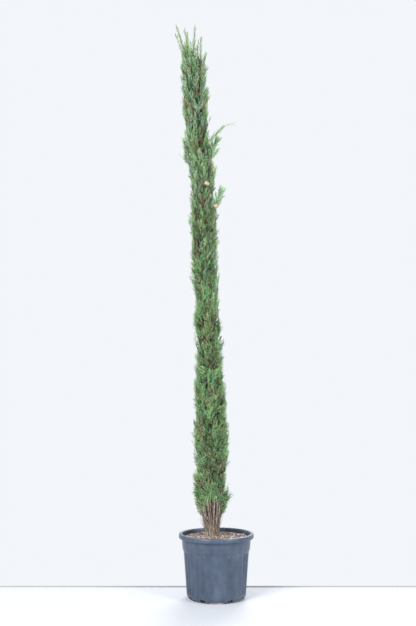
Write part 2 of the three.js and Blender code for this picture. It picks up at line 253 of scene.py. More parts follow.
def new_material(name, color, roughness, specular):
    """A principled material of one plain colour."""
    material = bpy.data.materials.new(name)
    material.use_nodes = True
    shader = material.node_tree.nodes["Principled BSDF"]
    shader.inputs["Base Color"].default_value = (*color, 1)
    shader.inputs["Roughness"].default_value = roughness
    shader.inputs["Specular IOR Level"].default_value = specular
    return material


def add_node(tree, kind, settings=(), **values):
    """A new node. Each value, or a link from the socket given for it, goes to the input of its name."""
    node = tree.nodes.new(kind)
    for name, value in settings:
        setattr(node, name, value)
    for name, value in values.items():
        taken = node.inputs[name.replace("_", " ")]
        if isinstance(value, bpy.types.NodeSocket):
            tree.links.new(value, taken)
        else:
            taken.default_value = value
    return node


def patterned(name, color, roughness, specular, colors, scale, detail=6, stretch=(1, 1, 1), relief=0,
              depth=0.001, rough_range=None):
    """A material with colours from a noise, and a bump and a roughness from the same noise."""
    material = new_material(name, color, roughness, specular)
    tree = material.node_tree
    shader = tree.nodes["Principled BSDF"].inputs
    place = add_node(tree, "ShaderNodeTexCoord").outputs["Object"]
    place = add_node(tree, "ShaderNodeMapping", Vector=place, Scale=stretch).outputs["Vector"]
    texture = add_node(tree, "ShaderNodeTexNoise", Vector=place, Scale=scale, Detail=detail, Roughness=0.62)
    pattern = texture.outputs["Fac"]
    ramp = add_node(tree, "ShaderNodeValToRGB", Fac=pattern)
    stops = ramp.color_ramp.elements
    while len(stops) < len(colors):
        stops.new(0.5)
    for i, color in enumerate(colors):
        stops[i].position = NOISE_LOW + (NOISE_HIGH - NOISE_LOW) * i / (len(colors) - 1)
        stops[i].color = (*color, 1)
    tree.links.new(ramp.outputs["Color"], shader["Base Color"])
    if rough_range:
        spread = add_node(tree, "ShaderNodeMapRange", Value=pattern, From_Min=NOISE_LOW, From_Max=NOISE_HIGH,
                          To_Min=rough_range[0], To_Max=rough_range[1])
        tree.links.new(spread.outputs["Result"], shader["Roughness"])
    if relief:
        bump = add_node(tree, "ShaderNodeBump", Height=pattern, Strength=relief, Distance=depth)
        tree.links.new(bump.outputs["Normal"], shader["Normal"])
    return material


def add_dust(material, low, high, color):
    """Patches of dust over a material's own colour: whole up to the height low, gone at high."""
    tree = material.node_tree
    base = tree.nodes["Principled BSDF"].inputs["Base Color"]
    place = add_node(tree, "ShaderNodeTexCoord").outputs["Object"]
    height = add_node(tree, "ShaderNodeSeparateXYZ", Vector=place).outputs["Z"]
    fade = add_node(tree, "ShaderNodeMapRange", Value=height, From_Min=low, From_Max=high, To_Min=1, To_Max=0)
    patches = add_node(tree, "ShaderNodeTexNoise", Vector=place, Scale=24).outputs["Fac"]
    sharp = add_node(tree, "ShaderNodeMapRange", Value=patches, From_Min=0.36, From_Max=0.62)
    share = add_node(tree, "ShaderNodeMath", [("operation", "MULTIPLY")])
    tree.links.new(fade.outputs["Result"], share.inputs[0])
    tree.links.new(sharp.outputs["Result"], share.inputs[1])
    mix = add_node(tree, "ShaderNodeMix", [("data_type", "RGBA")], Factor=share.outputs["Value"],
                   A=base.links[0].from_socket, B=(*color, 1))
    tree.links.new(mix.outputs["Result"], base)


# Leaf colours: a family for each spray, and in it a tone for old, full-grown and young branchlets.
LEAF_FAMILIES = {
    "green": (0.235, 0.44, 0.185),
    "deep": (0.14, 0.3, 0.13),
    "bluish": (0.215, 0.4, 0.238),
    "fresh": (0.345, 0.57, 0.235),
    "olive": (0.325, 0.415, 0.185),
    "brown": (0.32, 0.235, 0.145),
    # painted shade: a near-black green that stands in for the shade deep inside the crown, worn by the inner
    # sprays
    "painted_shade": (0.05, 0.085, 0.04),
    "pale": (0.335, 0.47, 0.3),
}
LEAF_TONES = (0.5, 0.82, 1.18, 1.52)
FAMILY = {name: i for i, name in enumerate(LEAF_FAMILIES)}


def leaf_materials():
    """A material for each tone of each family, in that order."""
    return [
        new_material(f"leaf_{name}_{i}", [min(c * tone, 1) for c in color], 0.55, 0.35)
        for name, color in LEAF_FAMILIES.items()
        for i, tone in enumerate(LEAF_TONES)
    ]


BARK = patterned(
    "bark", (0.24, 0.19, 0.15), 0.9, 0.2,
    [(0.05, 0.037, 0.029), (0.27, 0.215, 0.172), (0.58, 0.505, 0.43)],
    scale=12, stretch=(14, 14, 1.8), relief=0.8, depth=0.0015, rough_range=(0.75, 0.95),
)
BOUGH = patterned(
    "bough", (0.1, 0.07, 0.05), 0.9, 0.1,
    [(0.06, 0.042, 0.031), (0.19, 0.135, 0.1)],
    scale=30, stretch=(1, 1, 0.3), relief=0.4,
)
TWIG = patterned(
    "twig", (0.24, 0.17, 0.1), 0.8, 0.2,
    [(0.14, 0.085, 0.05), (0.36, 0.27, 0.16)],
    scale=40, stretch=(1, 1, 0.3), relief=0.3, depth=0.0005,
)
GREEN_TWIG = patterned(
    "green_twig", (0.28, 0.3, 0.17), 0.7, 0.2,
    [(0.2, 0.2, 0.11), (0.36, 0.38, 0.22)],
    scale=40, stretch=(1, 1, 0.3), relief=0.2, depth=0.0004,
)
DEAD = patterned(
    "dead_twig", (0.2, 0.14, 0.11), 0.9, 0.1,
    [(0.1, 0.065, 0.05), (0.34, 0.26, 0.2)],
    scale=30, stretch=(1, 1, 0.3), relief=0.3, depth=0.0005,
)
POT_PLASTIC = patterned(
    "pot_plastic", (0.06, 0.086, 0.134), 0.36, 0.6,
    [(0.034, 0.052, 0.088), (0.052, 0.077, 0.124), (0.088, 0.11, 0.152)],
    scale=11, detail=9, stretch=(1.6, 1.6, 0.75), relief=0.1, depth=0.0006, rough_range=(0.26, 0.42),
)
add_dust(POT_PLASTIC, 0.005, 0.013, (0.66, 0.52, 0.42))
SOIL = patterned(
    "soil", (0.14, 0.09, 0.06), 0.95, 0.15,
    [(0.055, 0.042, 0.036), (0.18, 0.138, 0.115), (0.32, 0.26, 0.222)],
    scale=70, detail=9, relief=0.9, depth=0.004,
)


# ---- camera, lights and floor
LENS = 55.2  # in mm
CAMERA_PLACE = (-0.052, -6.1, 1.4)
CAMERA_TILT = 3.6  # upwards, in degrees
# Softboxes: name, place, what they point at, size and power.
SOFTBOXES = [
    ("key", (-5.5, -8, 7.5), (0, 0, 1.6), (4.5, 5), 1150),
    ("fill", (7, -6, 4.5), (0, 0, 1.4), (4, 5), 520),
    ("back", (1.5, 7, 6), (0, 0, 1.8), (4, 4), 420),
]
FLOOR_SIDE, FLOOR_FRONT = 7, -9
PAINTED_SHADOW_LINE_HEIGHT = 0.009  # the height of the grey strip along the floor's far end, a painted shadow line standing in for the shade where floor and wall meet


def add_camera():
    data = bpy.data.cameras.new("camera")
    data.lens = LENS
    camera = add_object("camera", data)
    camera.location = CAMERA_PLACE
    camera.rotation_euler = (math.radians(90 + CAMERA_TILT), 0, 0)
    scene.camera = camera


def add_studio():
    """A pale room: a white backdrop and a dimmer light from it, three softboxes, and a floor with a grey
    strip of painted shadow at its far end.
    """
    world = bpy.data.worlds.new("studio")
    scene.world = world
    world.use_nodes = True
    tree = world.node_tree
    light = tree.nodes["Background"]
    light.inputs["Color"].default_value = (0.9, 0.94, 1.0, 1)
    light.inputs["Strength"].default_value = 0.62
    backdrop = add_node(tree, "ShaderNodeBackground", Color=(0.896, 0.922, 0.956, 1))
    ray = add_node(tree, "ShaderNodeLightPath").outputs
    seen = add_node(tree, "ShaderNodeMath", [("operation", "MAXIMUM")])
    tree.links.new(ray["Is Camera Ray"], seen.inputs[0])
    tree.links.new(ray["Is Glossy Ray"], seen.inputs[1])
    choose = add_node(tree, "ShaderNodeMixShader", Fac=seen.outputs["Value"])
    tree.links.new(light.outputs["Background"], choose.inputs[1])
    tree.links.new(backdrop.outputs["Background"], choose.inputs[2])
    tree.links.new(choose.outputs["Shader"], tree.nodes["World Output"].inputs["Surface"])
    scene.view_settings.view_transform = "Standard"
    for name, place, target, size, power in SOFTBOXES:
        data = bpy.data.lights.new(name, "AREA")
        data.shape = "RECTANGLE"
        data.size, data.size_y = size
        data.energy = power
        lamp = add_object(name, data)
        lamp.location = place
        lamp.rotation_euler = (Vector(target) - Vector(place)).to_track_quat("-Z", "Y").to_euler()

    edges = [(FLOOR_FRONT, 0), (FLOOR_END, 0), (FLOOR_END, PAINTED_SHADOW_LINE_HEIGHT)]
    corners = [(x, y, z) for y, z in edges for x in (-FLOOR_SIDE, FLOOR_SIDE)]
    mesh = bpy.data.meshes.new("floor")
    mesh.from_pydata(corners, [], [(0, 1, 3, 2), (2, 3, 5, 4)])
    floor = add_object("floor", mesh)
    floor.location.z = -0.0005
    paint = [(0.655, 0.675, 0.715), (0.675, 0.695, 0.735)]
    mesh.materials.append(patterned("floor", (0.665, 0.685, 0.725), 0.6, 0.2, paint, scale=1.5, detail=3))
    # The grey strip at the floor's far end is painted shadow: a line standing in for the shade where floor
    # and wall meet.
    mesh.materials.append(new_material("floor_painted_shadow_line", (0.4, 0.41, 0.41), 0.8, 0.2))
    mesh.polygons[1].material_index = 1


# ---- what the frame says
TUFT_NODES = [n for n in NODES if n.startswith(("foliage_plume", "foliage_tip"))]
CROWN_NODES = [n for n in NODES if n.startswith("foliage") and n not in TUFT_NODES]
STEM_NODES = sorted(n for n in NODES if n.startswith("stem"))


def node_points(name):
    mesh = NODES[name].data
    points = np.zeros(len(mesh.vertices) * 3, np.float32)
    mesh.vertices.foreach_get("co", points)
    return points.reshape(-1, 3).astype(float)


def surface_of(names):
    points, faces = [], []
    for name in names:
        first = len(points)
        points += node_points(name).tolist()
        faces += [[first + i for i in p.vertices] for p in NODES[name].data.polygons]
    return BVHTree.FromPolygons(points, faces)


class Profile:
    """The middle of some nodes and their reach all round, by height, measured by rays from outside."""

    def __init__(self, names, low, high, rows, columns, guess):
        surface = surface_of(names)
        self.low, self.high, self.rows, self.columns = low, high, rows, columns
        self.middle, self.reach = np.zeros((rows, 3)), np.zeros((rows, columns))
        directions = [around(turn) for turn in turns(columns)]
        for i, height in enumerate(np.linspace(low, high, rows)):
            for _ in range(2):
                centre = np.array([*guess[:2], height])
                hits = self.cast(surface, centre, directions)
                found = hits[~np.isnan(hits[:, 0])]
                if len(found):
                    guess = (found.min(0) + found.max(0)) / 2
            self.middle[i] = centre
            self.reach[i] = np.nan_to_num(np.linalg.norm(hits - centre, axis=1))

    @staticmethod
    def cast(surface, centre, directions, distance=0.6):
        hits = []
        for direction in directions:
            hit = surface.ray_cast(Vector(centre + direction * distance), Vector(-direction), distance)[0]
            hits.append(hit or (math.nan,) * 3)
        return np.array(hits, float)

    def row(self, height):
        share = np.clip((height - self.low) / (self.high - self.low), 0, 1) * (self.rows - 1)
        low = min(int(share), self.rows - 2)
        return low, share - low

    def middle_at(self, height):
        low, part = self.row(height)
        point = self.middle[low] * (1 - part) + self.middle[low + 1] * part
        return np.array([*point[:2], height])

    def reach_at(self, height, angle):
        low, part = self.row(height)
        turn = (angle / (2 * math.pi) % 1) * self.columns
        left, share = int(turn) % self.columns, turn % 1
        right = (left + 1) % self.columns
        ends = self.reach[low : low + 2, left] * (1 - share) + self.reach[low : low + 2, right] * share
        return ends[0] * (1 - part) + ends[1] * part


trunk_low, trunk_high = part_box("trunk")
TRUNK = Profile(["trunk"], trunk_low.z + 0.001, trunk_high.z - 0.01, 220, 8, (-0.024, 0))
crown_low = min(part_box(n)[0].z for n in CROWN_NODES)
crown_high = max(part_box(n)[1].z for n in CROWN_NODES)
CROWN = Profile(CROWN_NODES, crown_low + 0.04, crown_high - 0.03, 150, 36, (-0.03, 0))


def unevenness(height, angle):
    """A smooth value from about -1 to 1 for each place on the crown's outside."""
    level = around(angle)[:2]
    spots = np.array([[*(2.1 * level), 7.5 * height], [*(4.6 * level), 16 * height + 9]])
    broad, fine = noise(spots)
    return broad + 0.5 * fine


def crown_point(height, angle, share):
    """A point of the crown at a height and angle, at a share of the way from its middle to its outline."""
    reach = CROWN.reach_at(height, angle) * (1 + 0.09 * unevenness(height, angle))
    return CROWN.middle_at(height) + around(angle) * reach * share


# ---- pot
pot_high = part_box("pot")[1]
POT_TOP, RIM_RADIUS = pot_high.z, pot_high.x
FOOT_HEIGHT = 0.007
# Outer and inner profile: radius as a share of the rim's, height as a share of the pot's.
POT_OUTSIDE = [
    (0, 0.0175), (0.3, 0.0175), (0.6, 0.0175), (0.7, 0.0175), (0.725, 0.018), (0.752, 0.024),
    (0.775, 0.037), (0.786, 0.055), (0.7915, 0.075), (0.8, 0.15), (0.818, 0.3), (0.836, 0.45),
    (0.854, 0.6), (0.8685, 0.705), (0.8735, 0.722), (0.8815, 0.738), (0.8905, 0.752), (0.898, 0.766),
    (0.903, 0.785), (0.912, 0.85), (0.9175, 0.922), (0.92, 0.9265), (0.935, 0.9275), (0.97, 0.928),
    (0.985, 0.929), (0.994, 0.933), (0.9985, 0.94), (1, 0.95), (1, 0.968), (0.998, 0.982),
    (0.992, 0.992), (0.98, 0.998), (0.965, 1),
]
POT_INSIDE = [
    (0.93, 1), (0.918, 0.998), (0.9105, 0.99), (0.908, 0.975), (0.903, 0.9), (0.893, 0.76),
    (0.878, 0.745), (0.86, 0.735), (0.824, 0.45), (0.782, 0.1), (0.77, 0.055), (0.745, 0.035),
    (0.7, 0.0255), (0, 0.0255),
]
FEET_MIDDLES = [math.radians(90 * i) for i in range(4)]
RIB_ANGLES = [math.radians(a) for a in (21, 30, 39)]
DRAIN_ANGLE = math.radians(28)
DRAIN_BOX, DRAIN_PLACE = (0.05, 0.032, 0.013), (0.186, 0, 0.0155)
RIB_FOOT, RIB_TOP, RIB_END = 0.034, 0.289, 0.006
RIB_HEIGHT, RIB_HALF_WIDTH, RIB_EDGE = 0.0058, 0.0054, 0.0022
# The plain raised frame: where it faces, half its width and height, its middle's height, and its edge.
FRAME_ANGLE, FRAME_HALF, FRAME_MIDDLE = math.radians(-61), (0.062, 0.044), 0.235
FRAME_HEIGHT, FRAME_WIDTH, FRAME_EDGE = 0.0012, 0.0022, 0.0012
FOOT_HALF_ANGLE = math.radians(22.5)
FOOT_START, FOOT_END, PAD_RADIUS = 0.094, 0.172, 0.064


def off_angle(turn, angle):
    return (turn - angle + math.pi) % (2 * math.pi) - math.pi


def densify(profile, step):
    """A profile with points no further apart than step, in metres."""
    scaled = np.array([(r * RIM_RADIUS, z * POT_TOP) for r, z in profile])
    points = [scaled[:1]]
    for start, end in zip(scaled[:-1], scaled[1:]):
        count = max(1, math.ceil(np.linalg.norm(end - start) / step))
        share = np.arange(1, count + 1)[:, None] / count
        points.append(start + (end - start) * share)
    return np.concatenate(points)


def pot_relief(radius, height, turn):
    """How far the outside of the wall stands out, for the ribs and a plain raised frame."""
    rib_zone = smooth((height - RIB_FOOT) / RIB_END) * smooth((RIB_TOP - height) / RIB_END)
    out = 0
    for foot in FEET_MIDDLES:
        for rib in RIB_ANGLES:
            for side in (-1, 1):
                off = np.abs(off_angle(turn, foot + side * rib)) * radius
                out = out + RIB_HEIGHT * smooth((RIB_HALF_WIDTH - off) / RIB_EDGE) * rib_zone
    across = np.abs(off_angle(turn, FRAME_ANGLE)) * radius
    upright = np.abs(height - FRAME_MIDDLE)
    edge = np.maximum(across - FRAME_HALF[0], upright - FRAME_HALF[1])
    return out + FRAME_HEIGHT * smooth((FRAME_WIDTH - np.abs(edge)) / FRAME_EDGE)


def add_pot():
    outside, inside = densify(POT_OUTSIDE, 0.006), densify(POT_INSIDE, 0.02)
    profile = np.concatenate([outside, inside])[1:-1]
    turn = turns(POT_SEGMENTS)
    radius, height = profile[:, :1] + 0 * turn, profile[:, 1:] + 0 * turn
    is_outside = (np.arange(len(profile)) < len(outside) - 1)[:, None]
    radius = radius + is_outside * pot_relief(radius, height, turn)
    # Feet: parts of the underside that stand lower, down to the floor.
    under = is_outside & (height < 0.012) & (radius < FOOT_END)
    foot = sum(smooth((FOOT_HALF_ANGLE - np.abs(off_angle(turn, a))) / 0.02) for a in FEET_MIDDLES)
    foot = foot * smooth((radius - FOOT_START) / 0.004) + smooth((PAD_RADIUS - radius) / 0.004)
    height = np.where(under, FOOT_HEIGHT * (1 - np.clip(foot, 0, 1)), height)
    points = polar(radius, turn, height).reshape(-1, 3)
    faces = grid_faces(len(profile), POT_SEGMENTS)
    # Fans that close the underside's first ring and the inner floor's last one.
    low, high = len(points), len(points) + 1
    points = np.concatenate([points, [[0, 0, 0], [0, 0, POT_INSIDE[-1][1] * POT_TOP]]])
    ring = np.arange(POT_SEGMENTS)
    beside, last = (ring + 1) % POT_SEGMENTS, low - POT_SEGMENTS
    under_fan = np.stack([beside, ring, 0 * ring + low], axis=1)
    floor_fan = np.stack([ring + last, beside + last, 0 * ring + high], axis=1)
    pot = add_piece("pot_shell", points, [faces, under_fan, floor_fan], [POT_PLASTIC], ["pot"])
    cut_drains(pot)


def cut_drains(pot):
    """Cuts drain holes through the rounded edge of the pot's floor, on both sides of each foot."""
    corners = np.array(list(np.ndindex(2, 2, 2))) - 0.5
    quads = np.array([[0, 1, 3, 2], [4, 6, 7, 5], [0, 4, 5, 1], [2, 3, 7, 6], [0, 2, 6, 4], [1, 5, 7, 3]])
    points, faces = [], []
    for foot in FEET_MIDDLES:
        for side in (-1, 1):
            turn = foot + side * DRAIN_ANGLE
            x, y, z = (corners * DRAIN_BOX + DRAIN_PLACE).T
            cos, sin = math.cos(turn), math.sin(turn)
            faces += (quads + len(points) * 8).tolist()
            points.append(np.stack([x * cos - y * sin, x * sin + y * cos, z], axis=1))
    mesh = bpy.data.meshes.new("drains")
    mesh.from_pydata(np.concatenate(points).tolist(), [], faces)
    cutter = add_object("drains", mesh)
    cut = pot.modifiers.new("drains", "BOOLEAN")
    cut.operation = "DIFFERENCE"
    cut.solver = "EXACT"
    cut.object = cutter
    shape = bpy.data.meshes.new_from_object(pot.evaluated_get(bpy.context.evaluated_depsgraph_get()))
    pot.modifiers.clear()
    pot.data = shape
    bpy.data.objects.remove(cutter)


# ---- soil
soil_low, soil_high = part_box("soil")
SOIL_TOP = soil_high.z
SOIL_RADIUS = soil_high.x - 0.001
SOIL_SIDES = [(0.165, soil_low.z), (0.178, 0.035), (0.196, 0.292)]  # radius and height
SOIL_RINGS, SOIL_COLUMNS = 90, 180
# Bumps: their height, how many are in a metre, and a shift of the noise.
SOIL_BUMPS = [(0.003, 45, 0), (0.0022, 110, 7), (0.0012, 260, 3)]
TRUNK_FOOT = TRUNK.middle_at(TRUNK.low)


def soil_height(x, y):
    out = np.hypot(x, y) / SOIL_RADIUS
    points = np.stack([x, y, 0 * x], axis=-1)
    bumps = sum(tall * noise(points * fine + shift) for tall, fine, shift in SOIL_BUMPS)
    mound = 0.004 * np.exp(-np.hypot(x - TRUNK_FOOT[0], y - TRUNK_FOOT[1]) / 0.05)
    return SOIL_TOP + mound - 0.009 * out**2 + bumps * smooth((1.02 - out) / 0.1)


def add_soil():
    radius = np.linspace(0.002, SOIL_RADIUS, SOIL_RINGS)[::-1, None]
    turn = turns(SOIL_COLUMNS)
    x, y = radius * np.cos(turn), radius * np.sin(turn)
    top = np.stack([x, y, soil_height(x, y)], axis=-1)
    sides = [polar(r, turn, z) for r, z in SOIL_SIDES]
    points = np.concatenate([sides, top]).reshape(-1, 3)
    faces = grid_faces(SOIL_RINGS + len(SOIL_SIDES), SOIL_COLUMNS)
    add_piece("soil_surface", points, [faces], [SOIL], ["soil"])
    add_chips()


CHIP_COLORS = {
    "dark": [(0.062, 0.05, 0.046), (0.145, 0.114, 0.1)],
    "brown": [(0.2, 0.158, 0.136), (0.38, 0.31, 0.272)],
    "tan": [(0.42, 0.345, 0.302), (0.6, 0.51, 0.452)],
    "cream": [(0.62, 0.56, 0.52), (0.82, 0.77, 0.72)],
    "rust": [(0.27, 0.15, 0.1), (0.42, 0.25, 0.165)],
}
CHIP_SHARES = [0.27, 0.36, 0.24, 0.07, 0.06]
CHIP_LENGTH, CHIP_EXTRA = 0.0022, 0.007  # half the shortest length, and what the longest adds
CHIP_WIDTH, CHIP_THICKNESS = (0.3, 0.75), (0.14, 0.3)  # as shares of its length


def add_chips():
    """Bark chips and crumbs lying on the soil: flat slivers with six sides."""
    materials = [
        patterned(f"chip_{name}", tones[1], 0.9, 0.2, tones, 90, stretch=(1, 1, 2), relief=0.5, depth=0.0008)
        for name, tones in CHIP_COLORS.items()
    ]
    chips = Gather()
    fan = np.array([[0, i + 1, i + 2] for i in range(4)])
    faces = np.concatenate([triangles_of(grid_faces(2, 6)), fan[:, ::-1], fan + 6])
    for _ in range(SOIL_CHIPS):
        out, turn = (SOIL_RADIUS - 0.008) * math.sqrt(rng.random()), 2 * math.pi * rng.random()
        place = around(turn) * out
        long = CHIP_LENGTH + CHIP_EXTRA * rng.random() ** 2.6
        wide, thick = long * between(CHIP_WIDTH), long * between(CHIP_THICKNESS)
        rim = turns(6) + rng.normal(0, 0.2, 6)
        outline = np.stack([long * np.cos(rim), wide * np.sin(rim)], axis=1)
        outline *= 0.8 + 0.3 * rng.random((6, 1))
        low = np.column_stack([outline, np.full(6, -thick)])
        high = np.column_stack([outline * 0.85, thick + rng.normal(0, 0.2 * thick, 6)])
        heading, tip, roll = 2 * math.pi * rng.random(), rng.normal(0, 0.28), rng.normal(0, 0.3)
        along = around(heading) * math.cos(tip) + UP * math.sin(tip)
        level = unit(np.cross(UP, along))
        up = np.cross(along, level)
        across = level * math.cos(roll) + up * math.sin(roll)
        basis = np.stack([along, across, np.cross(along, across)])
        place[2] = soil_height(*place[:2]) + 0.6 * thick
        chips.add(np.concatenate([low, high]) @ basis + place, faces, rng.choice(5, p=CHIP_SHARES))
    chips.piece("soil_chips", materials, "soil", smooth_shaded=False)


# ---- trunk and stems
# The strips of bark, coarse to fine: how close they are round the limb, and along it.
BARK_STRIPS = [(5, 14), (12, 30), (30, 60)]


def bark_limb(path, radii, sides, relief, flare=0, seed=0):
    """A tapering limb covered in long fibrous strips: quads, open at both ends."""
    length = distances(path)[:, None]
    along = unit(np.gradient(path, axis=0))
    along[0] = UP
    across = unit(np.cross(along, [0, 1, 0]))
    turn = turns(sides)
    strips = np.zeros((len(path), sides))
    for octave, (wide, tall) in enumerate(BARK_STRIPS):
        spot = polar(wide, turn, length * tall + seed * 3.7)
        strips += (1 - 2 * np.abs(noise(spot))) / 1.5**octave
    buttress = flare * np.exp(-length / 0.035) * (0.5 + 0.5 * np.cos(5 * turn + seed))
    thick = radii[:, None] * (1 + relief * strips + buttress)
    ring = rings(turn, across, np.cross(along, across))
    return (path[:, None] + thick[..., None] * ring).reshape(-1, 3), grid_faces(len(path), sides)


def add_trunk():
    heights = np.concatenate([np.linspace(TRUNK.low, 0.75, 90), np.linspace(0.76, TRUNK.high, 150)])
    path = np.array([TRUNK.middle_at(z) for z in heights])
    radii = np.array([(TRUNK.reach_at(z, 0) + TRUNK.reach_at(z, 2)) / 2 for z in heights])
    # Slimmer than the CAD's trunk at its foot, where the stems crowd round it.
    radii *= 0.72 + 0.28 * smooth((heights - 0.5) / 0.3)
    path[0, 2] -= 0.004
    points, faces = bark_limb(path, radii, 72, 0.055, flare=0.25)
    add_piece("trunk_bark", points, [faces], [BARK], ["trunk"])


# ---- crown
cord_rows = []
wood = Gather()
OLD_WOOD, YOUNG_WOOD, DEAD_WOOD, GREEN_WOOD = 0, 1, 2, 3


def add_cords(start, middle, end, radius, normal, material):
    """Keeps some branchlets, which are thin bent spindles, as rows of numbers until they are built."""
    count = len(start)
    radius, material = np.broadcast_to(radius, count), np.broadcast_to(material, count)
    normal = np.broadcast_to(normal, (count, 3))
    cord_rows.append(np.column_stack([start, middle, end, radius, normal, material]))


def build_cords(rows):
    """Points, triangles and materials of the branchlets in some rows, each with three sides."""
    start, middle, end = rows[:, 0:3], rows[:, 3:6], rows[:, 6:9]
    radius, normal, material = rows[:, 9, None, None], rows[:, 10:13], rows[:, 13]
    along = unit(end - start)
    across = unit(np.cross(along, normal))
    ring = rings(turns(3), across, np.cross(along, across))
    points = np.concatenate([start[:, None], middle[:, None] + radius * ring, end[:, None]], axis=1)
    one = [[0, 2, 1], [0, 3, 2], [0, 1, 3], [1, 2, 4], [2, 3, 4], [3, 1, 4]]
    faces = (np.arange(len(rows))[:, None, None] * 5 + np.array(one)).reshape(-1, 3)
    return points.reshape(-1, 3), faces, np.repeat(material, len(one))


def add_limb(path, radii, sides, material):
    """A bough, twig or shoot along a path, whose radius goes from the first of radii to the second."""
    wood.add(*tube(path, np.linspace(*radii, len(path)), sides), material)


def grow_spray(base, tip, family, bright=1, fullness=1, spread=0.5, woody=0.4, size=1, angles=(24, 44)):
    """A spray from base to tip: an axis, branchlets to both sides of it, and small cords along those."""
    axis = tip - base
    length = np.linalg.norm(axis)
    axis = axis / length
    normal = unit(np.cross(axis, unit(rng.normal(size=3))))
    side = np.cross(normal, axis)
    bow = length * rng.normal(0, 0.07) * normal

    def spine(t):
        t = t[:, None]
        return base + axis * length * t + bow * 4 * t * (1 - t)

    first = len(LEAF_TONES) * family
    tone = first + bright
    radius = CORD_RADIUS * size
    count = max(4, int(round(length * BRANCHLETS * fullness)))
    t = np.linspace(0.08, 0.94, count) + rng.uniform(-0.02, 0.02, count)
    hand = np.where(np.arange(count) % 2, 1, -1)[:, None]
    angle = np.radians(rng.uniform(*angles, count) * (1 - 0.3 * t))[:, None]
    tilt = rng.normal(0, 0.75, count)[:, None]
    outward = side * np.cos(tilt) * hand + normal * np.sin(tilt)
    lead = unit(axis * np.cos(angle) + outward * np.sin(angle))
    long = length * spread * (1 - t) ** 0.5 * (0.6 + 0.4 * smooth(t / 0.3)) * rng.uniform(0.7, 1.25, count)
    long = np.maximum(long, 0.01)[:, None]
    start = spine(t)
    middle = start + lead * long * KNEE
    later = unit(lead + axis * 0.55)
    end = middle + later * long * (1 - KNEE)
    add_cords(start, middle, end, radius, normal, tone)

    for j in range(SIDE_CORDS):
        share = (j + 0.5) / (SIDE_CORDS + 0.1)
        if share < KNEE:
            root, heading = start + (middle - start) * share / KNEE, lead
        else:
            root, heading = middle + (end - middle) * (share - KNEE) / (1 - KNEE), later
        flank = np.cross(normal, heading) * (1 if j % 2 else -1) * hand + rng.normal(0, 0.5, (count, 3))
        aim = unit(heading + unit(flank) * rng.uniform(0.34, 0.66, (count, 1)))
        reach = np.maximum(long * (0.55 - 0.25 * share), 0.007) * rng.uniform(0.75, 1.3, (count, 1))
        half = root + aim * reach * 0.5
        last = half + unit(aim + heading * 0.5) * reach * 0.5
        add_cords(root, half, last, radius * 0.92, normal, tone + (share > 0.4))

    marks = spine(np.linspace(0, 1, 5))
    first_green = int(round(woody * 4))
    for i in range(first_green, 4):
        middle = (marks[i : i + 1] + marks[i + 1 : i + 2]) / 2
        low, high = marks[i : i + 1] - axis * 0.003, marks[i + 1 : i + 2] + axis * 0.003
        add_cords(low, middle, high, radius * 1.15, normal, max(tone - 1, first))
    if first_green:
        add_limb(marks[: first_green + 1], STALK_RADIUS, 3, YOUNG_WOOD)


def pick_family(height, angle, inner=False):
    """The colour family of a spray, by where it is on the plant; an inner spray mostly gets the painted shade
    colour.
    """
    if inner:
        # Inner sprays are mostly painted shade, a near-black green standing in for the shade inside the
        # crown; the rest are deep green and dead brown.
        return FAMILY[rng.choice(["painted_shade", "deep", "brown"], p=[0.62, 0.2, 0.18])]
    low = smooth(1.5 - height)
    upper = smooth((height - 1.9) / 0.8)
    right = 0.5 + 0.5 * math.cos(angle)
    weights = np.array([0.38 - 0.08 * low - 0.16 * upper, 0.15 - 0.05 * upper, 0.06 + 0.14 * right,
                        0.2 - 0.1 * low - 0.06 * right - 0.05 * upper, 0.13 + 0.08 * low,
                        0.02 + 0.12 * low, 0, 0.34 * upper])
    return rng.choice(len(weights), p=weights / weights.sum())


def hollow(height, angle):
    """Whether a place of the crown is one of the dark hollows between the sprays."""
    return unevenness(height * 0.8, angle + 2) < HOLLOW_LEVEL


def spray_to_outline(root, height, angle, family, bright):
    """A spray from root that ends near the crown's outline, higher up."""
    upper = smooth((height - 2.2) / 0.8)
    rise = between(SPRAY_RISE) * (1 + 0.45 * upper)
    beyond = rng.uniform(0.9, 1.03) if rng.random() < 0.86 else rng.uniform(1.03, 1.17)
    top = min(height + rise, CROWN_TOP - 0.03 * math.cos(angle) + rng.uniform(-0.035, 0.03))
    tip = crown_point(top, angle + rng.normal(0, 0.34 - 0.16 * upper), beyond)
    if np.linalg.norm(tip - root) > 0.02:
        angles = (26 - 9 * upper, 52 - 16 * upper)
        grow_spray(root, tip, family, bright, spread=0.5 - 0.08 * upper, angles=angles)


